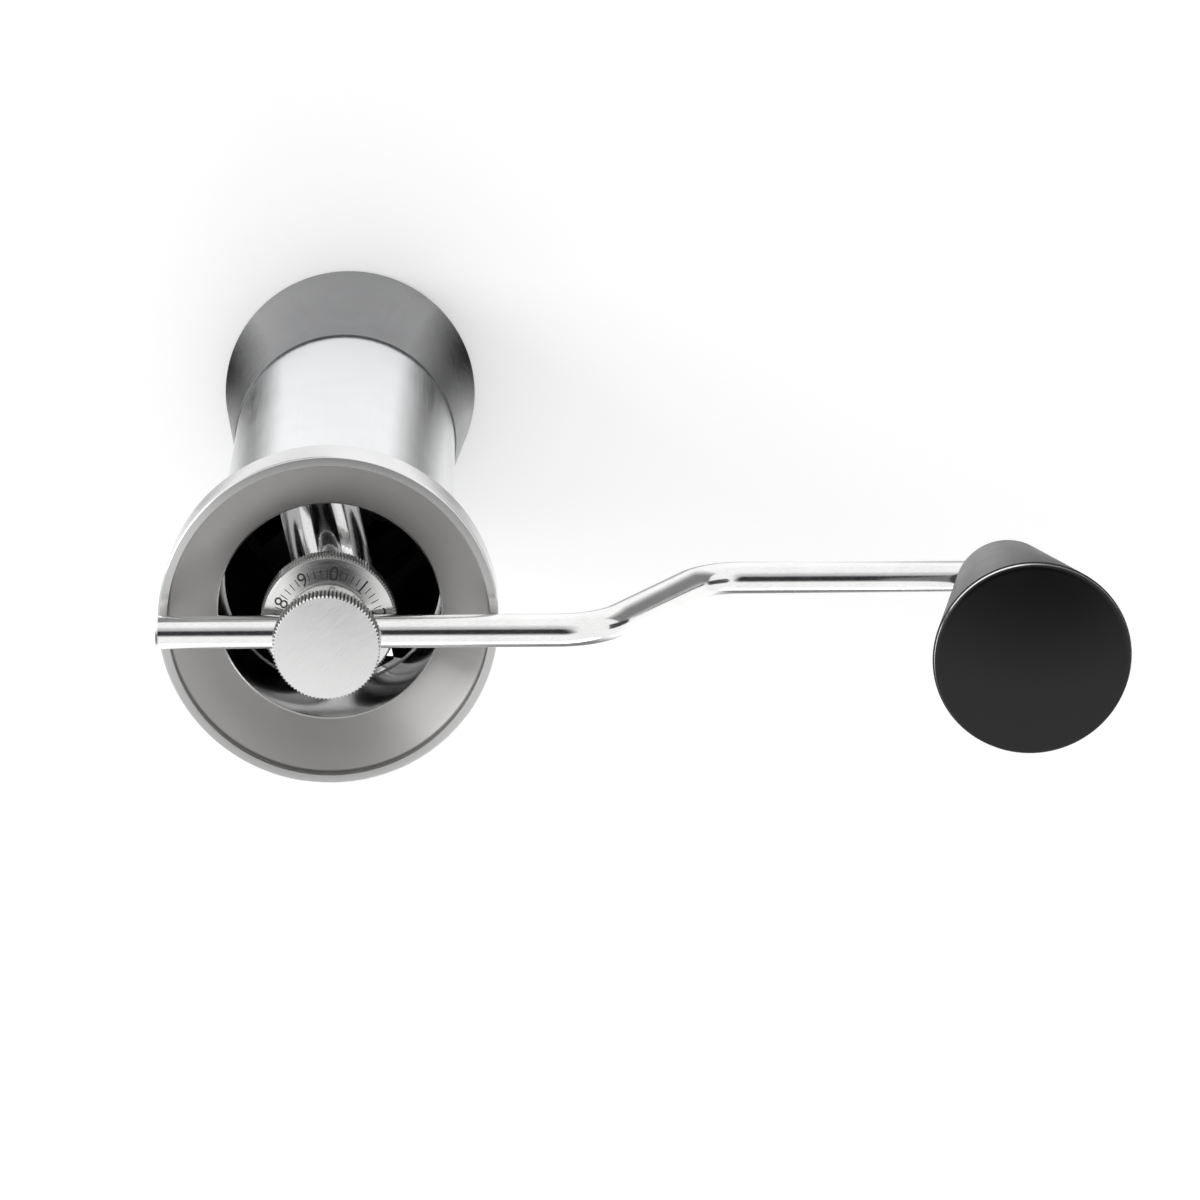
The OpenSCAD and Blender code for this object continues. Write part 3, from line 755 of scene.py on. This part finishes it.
def build_knob():
    """Tapered shell, bright trim ring and domed cap, all round the knob's own axis."""
    knob_r, knob_z, seam_z = round_size("knob_shell")
    cap_r, cap_low_z, cap_top_z = round_size("knob_cap")
    neck_r = 12.5 * MM
    bore_r = 5.2 * MM
    recess_r = knob_r - 3 * MM
    bush_r = 7 * MM
    seat_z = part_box("knob_washer")[0].z
    turned_piece("knob_grip", "knob_shell", [
        (bore_r, knob_z), (neck_r, knob_z, 0.9 * MM), (knob_r, seam_z, 0.12 * MM),
        (recess_r, seam_z), (recess_r, seam_z - 2 * MM), (bush_r, seam_z - 3 * MM),
        (bush_r, seat_z), (bore_r, seat_z),
    ], segments=224, centre=KNOB_CENTRE)
    trim_r, trim_z, trim_top_z = round_size("knob_trim_ring")
    trim_bore_r = recess_r + 0.05 * MM
    turned_piece("knob_bezel", "knob_trim_ring", [
        (trim_bore_r, trim_z), (trim_r, trim_z, 0.05 * MM),
        (trim_r - 0.15 * MM, trim_top_z), (trim_bore_r, trim_top_z),
    ], segments=224, centre=KNOB_CENTRE)
    dome_r = 11 * knob_r
    edge_w = 1.6 * MM
    edge_z = cap_top_z - 1.35 * MM
    cap_foot_z = trim_top_z + 0.05 * MM
    edge_rise = cap_top_z - edge_z - (cap_r - edge_w) ** 2 / (2 * dome_r)
    rings = 12
    edge = [
        (cap_r - edge_w + edge_w * math.cos(a), edge_z + edge_rise * math.sin(a))
        for a in [math.radians(10 * k) for k in range(9)]
    ]
    dome = [
        (r, cap_top_z - r ** 2 / (2 * dome_r))
        for r in [(cap_r - edge_w) * (1 - k / rings) for k in range(1, rings)]
    ]
    plug_r = recess_r - 0.05 * MM
    turned_piece("knob_face", "knob_cap", [
        (0, cap_low_z), (plug_r, cap_low_z), (plug_r, cap_foot_z),
        (cap_r, cap_foot_z), *edge, *dome, (0, cap_top_z),
    ], segments=224, centre=KNOB_CENTRE)


# Cup --------------------------------------------------------------------------------------


def build_cup():
    """The tapered cup and the pad in its foot."""
    base_r, base_z, top_z = round_size("cup_shell")
    top_r = 30.4 * MM
    mouth_r = 28.4 * MM
    ledge_r = 26.8 * MM
    ledge_z = top_z - 10.95 * MM
    belly_r = 29.4 * MM
    floor_z = 4 * MM
    pad_r = base_r - 2.3 * MM
    recess_z = 1.6 * MM
    turned_piece("cup_wall", "cup_shell", [
        (0, recess_z), (pad_r, recess_z), (pad_r, base_z, 0.1 * MM), (base_r, base_z, 0.6 * MM),
        (top_r, top_z, 0.25 * MM), (mouth_r, top_z, 0.3 * MM), (mouth_r, ledge_z),
        (ledge_r, ledge_z), (ledge_r, ledge_z - 1.5 * MM, 0.5 * MM),
        (belly_r, ledge_z - 6 * MM, 4 * MM), (base_r - 2.4 * MM, 8 * MM, 4 * MM),
        (base_r - 5 * MM, floor_z, 2 * MM), (0, floor_z),
    ], segments=256)
    pad_outer_r, pad_z, pad_top_z = round_size("cup_base_pad")
    hollow_z = pad_z + 0.4 * MM
    turned_piece("cup_foot", "cup_base_pad", [
        (0, hollow_z), (pad_outer_r - 6 * MM, hollow_z),
        (pad_outer_r - 5.5 * MM, pad_z), (pad_outer_r, pad_z, 0.3 * MM),
        (pad_outer_r, pad_top_z), (0, pad_top_z),
    ], segments=192)


# Burrs ------------------------------------------------------------------------------------


def teeth(count, depth, twist, fine_count, fine_depth, low_z, high_z, inward):
    """Cutting teeth along a cone: deep spiral flutes that fade into fine teeth at the bottom."""
    cut_from_r, cut_to_r = 8 * MM, 25 * MM
    fade_in = 1.6

    def shape(angle, radius, height):
        if radius < cut_from_r or radius > cut_to_r:
            return radius
        up = min(1, max(0, (height - low_z) / (high_z - low_z)))
        spiral = angle + twist * up
        saw = (spiral * count / TURN) % 1
        coarse = depth * min(1, fade_in * up) * (1 - saw) ** 2
        fine = fine_depth * ((spiral * fine_count / TURN) % 1)
        return radius + (coarse + fine) * (1 if inward else -1)
    return shape


def build_burrs():
    """The turning cone burr, and the fixed ring burr round it."""
    bore_r = 4.02 * MM
    plain_h = 2 * MM
    cone_r, cone_z, cone_top_z = round_size("cone_burr")
    neck_r = 9 * MM
    rows = 14
    cone_side = [
        (cone_r - 0.02 * MM - (cone_r - neck_r) * f,
         cone_z + plain_h + (cone_top_z - cone_z - plain_h) * f)
        for f in [k / rows for k in range(rows + 1)]
    ]
    cone_teeth = teeth(7, 2.2 * MM, 1.5, 48, 0.35 * MM, cone_z + plain_h, cone_top_z, False)
    turned_piece("cone_cutter", "cone_burr", [
        (bore_r, cone_z), (cone_r, cone_z), *cone_side, (bore_r, cone_top_z),
    ], segments=480, shape=cone_teeth)
    outer_r, ring_z, ring_top_z = round_size("outer_burr")
    inner_low_r = 23.9 * MM
    inner_high_r = 20.5 * MM
    ring_side = [
        (inner_high_r + (inner_low_r - inner_high_r) * f,
         ring_top_z - (ring_top_z - ring_z - plain_h) * f)
        for f in [k / rows for k in range(rows + 1)]
    ]
    ring_teeth = teeth(12, 1.3 * MM, -1.2, 60, 0.3 * MM, ring_z + plain_h, ring_top_z, True)
    turned_piece("ring_cutter", "outer_burr", [
        (inner_low_r, ring_z), (outer_r, ring_z, 0.3 * MM), (outer_r, ring_top_z, 0.3 * MM),
        *ring_side,
    ], segments=480, shape=ring_teeth)


# Floor, light and camera --------------------------------------------------------------------


def build_floor():
    """A pale floor that the cup stands on, so it goes with the cup when the body is lifted off."""
    reach = 8.0
    data = bpy.data.meshes.new("floor")
    corners = [(-reach, -reach, 0), (reach, -reach, 0), (reach, reach, 0), (-reach, reach, 0)]
    data.from_pydata(corners, [], [(0, 1, 2, 3)])
    floor = bpy.data.objects.new("floor", data)
    bpy.context.scene.collection.objects.link(floor)
    material, _, shader = new_material("floor_white")
    shader.inputs["Base Color"].default_value = (0.86, 0.86, 0.86, 1)
    shader.inputs["Roughness"].default_value = 0.8
    shader.inputs["Specular IOR Level"].default_value = 0.1
    shader.inputs["Emission Color"].default_value = (1, 1, 1, 1)
    shader.inputs["Emission Strength"].default_value = 0.25
    floor.data.materials.append(material)
    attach(floor, "cup")


def card_material():
    """A near black material for a card, with its tree and shader, and two things that the card's
    strength is made from: the position's x, y and z, and the distance from the upright axis."""
    material, tree, shader = new_material("card_grey")
    shader.inputs["Base Color"].default_value = (0.02, 0.02, 0.02, 1)
    shader.inputs["Roughness"].default_value = 1.0
    shader.inputs["Specular IOR Level"].default_value = 0.0
    place = add(tree, "SeparateXYZ", {0: object_position(tree)}).outputs
    return material, tree, shader, place, radius_from(tree, (0, 0))


def hang_card(card, material):
    """Gives a card its material, and leaves it in reflections only."""
    card.data.materials.append(material)
    card.visible_camera = False
    card.visible_diffuse = False
    card.visible_shadow = False
    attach(card, "cup")


def build_cards():
    """Soft-edged dark cards just over the floor at both sides, seen only in reflections.
    side is the sign of x, and middle the bearing of a card's middle in degrees."""
    near, far = 20 * MM, 140 * MM
    half_y = 90 * MM
    lift = 0.5 * MM
    strength, far_share = 0.8, 0.56
    strong_r, even_r, fade_r = 37 * MM, 49 * MM, 100 * MM
    core, edge = math.radians(3), math.radians(29)
    for side, middle in ((1, 18), (-1, 10)):
        material, tree, shader, place, radius = card_material()
        out = add(tree, "Math", {0: place[0], 1: side}, operation="MULTIPLY").outputs[0]
        angle = add(tree, "Math", {0: place[1], 1: out}, operation="ARCTAN2").outputs[0]
        offset = add(tree, "Math", {0: angle, 1: math.radians(middle)},
                     operation="SUBTRACT").outputs[0]
        away = add(tree, "Math", {0: offset}, operation="ABSOLUTE").outputs[0]
        across = remap(tree, away, strength, 0, start=core, end=edge)
        along = remap(tree, radius, 1, far_share, start=strong_r, end=even_r)
        fade = remap(tree, radius, 1, 0, start=fade_r, end=far)
        partial = add(tree, "Math", {0: across, 1: along}, operation="MULTIPLY").outputs[0]
        alpha = add(tree, "Math", {0: partial, 1: fade}, operation="MULTIPLY").outputs[0]
        tree.links.new(alpha, shader.inputs["Alpha"])
        low_x, high_x = sorted((side * near, side * far))
        hang_card(mesh_object("card", box_mesh(
            (low_x, -half_y, lift), (high_x, half_y, 1.1 * lift))), material)


def build_far_cards():
    """Four wide soft strips on a low cone round the object, for the metal seen from the side."""
    inner_r, full_r, outer_r, top_z = 150 * MM, 230 * MM, 500 * MM, 240 * MM
    thick = 0.2 * MM
    strips = 4
    strength = 0.55
    first = math.radians(20)
    material, tree, shader, place, radius = card_material()
    angle = add(tree, "Math", {0: place[1], 1: place[0]}, operation="ARCTAN2").outputs[0]
    offset = add(tree, "Math", {0: angle, 1: first}, operation="SUBTRACT").outputs[0]
    phase = add(tree, "Math", {0: offset, 1: strips}, operation="MULTIPLY").outputs[0]
    wave = add(tree, "Math", {0: phase}, operation="COSINE").outputs[0]
    across = remap(tree, wave, 0, strength, start=-0.1, end=0.8)
    fade = remap(tree, radius, 0, 1, start=inner_r, end=full_r)
    alpha = add(tree, "Math", {0: across, 1: fade}, operation="MULTIPLY").outputs[0]
    tree.links.new(alpha, shader.inputs["Alpha"])
    hang_card(mesh_object("far_card", lathe([
        (inner_r, thick), (outer_r, top_z), (outer_r, top_z + thick), (inner_r, 2 * thick),
    ], segments=96)), material)


def build_world():
    """A bright room, with dark patches overhead where a photographer would stand.
    Each patch is (x, y) of its direction at z 1, its inner and outer angle, and its strength."""
    world = bpy.data.worlds.new("studio")
    bpy.context.scene.world = world
    world.use_nodes = True
    tree = world.node_tree
    background = tree.nodes["Background"]
    direction = add(tree, "TexCoord").outputs["Generated"]
    dark_lobes = []
    for x, y, inner, outer, strength in (
            (0.0, 0.15, 12, 26, 1.0), (0.0, 0.45, 4, 30, 0.5), (0.14, 0.0, 6, 20, 1.0)):
        middle = Vector((x, y, 1.0)).normalized()
        aim = add(tree, "VectorMath", {0: direction, 1: middle}, operation="DOT_PRODUCT")
        dark_lobes.append(remap(tree, aim.outputs["Value"], 0.0, strength,
                                start=math.cos(math.radians(outer)),
                                end=math.cos(math.radians(inner))))
    near = dark_lobes[0]
    for lobe in dark_lobes[1:]:
        near = add(tree, "Math", {0: near, 1: lobe}, operation="MAXIMUM").outputs[0]
    shade = tint(tree, near, (1.0, 1.0, 1.0), (0.03, 0.03, 0.033))
    tree.links.new(shade, background.inputs["Color"])
    background.inputs["Strength"].default_value = 0.95


def build_light(name, place, aim, size, power):
    """A soft box: an area light of size (width, height) and power in watts, which shines from
    place to aim and isn't seen by the camera."""
    data = bpy.data.lights.new(name, "AREA")
    data.shape = "RECTANGLE"
    data.size, data.size_y = size
    data.energy = power
    light = bpy.data.objects.new(name, data)
    light.location = place
    light.rotation_euler = (Vector(aim) - Vector(place)).to_track_quat("-Z", "Y").to_euler()
    light.visible_camera = False
    bpy.context.scene.collection.objects.link(light)


def build_camera():
    """The main view: from above the rim, looking down along the tube to the cup."""
    data = bpy.data.cameras.new("camera")
    data.sensor_width = 36
    data.lens = 146.2
    camera = bpy.data.objects.new("camera", data)
    camera.location = (0.0347, 0.3340, 1.3560)
    camera.rotation_euler = Euler([math.radians(a) for a in (-16.292, -1.522, 0.118)])
    bpy.context.scene.collection.objects.link(camera)
    bpy.context.scene.camera = camera


build_tube()
build_rim()
build_funnel()
build_bridge()
build_bridge_ring()
build_click_plate()
build_dial()
build_hub()
build_thumb_screw()
build_crank()
build_knob()
build_cup()
build_burrs()
build_floor()
build_cards()
build_far_cards()
build_world()
build_light("key", (-1.07, 0.30, 0.95), (0.03, 0, 0.2), (0.6, 0.6), 4)
build_light("fill", (0.3, -1.1, 0.45), (0, 0, 0.22), (1.0, 0.4), 1.6)
build_camera()
bpy.context.scene.view_settings.view_transform = "Standard"
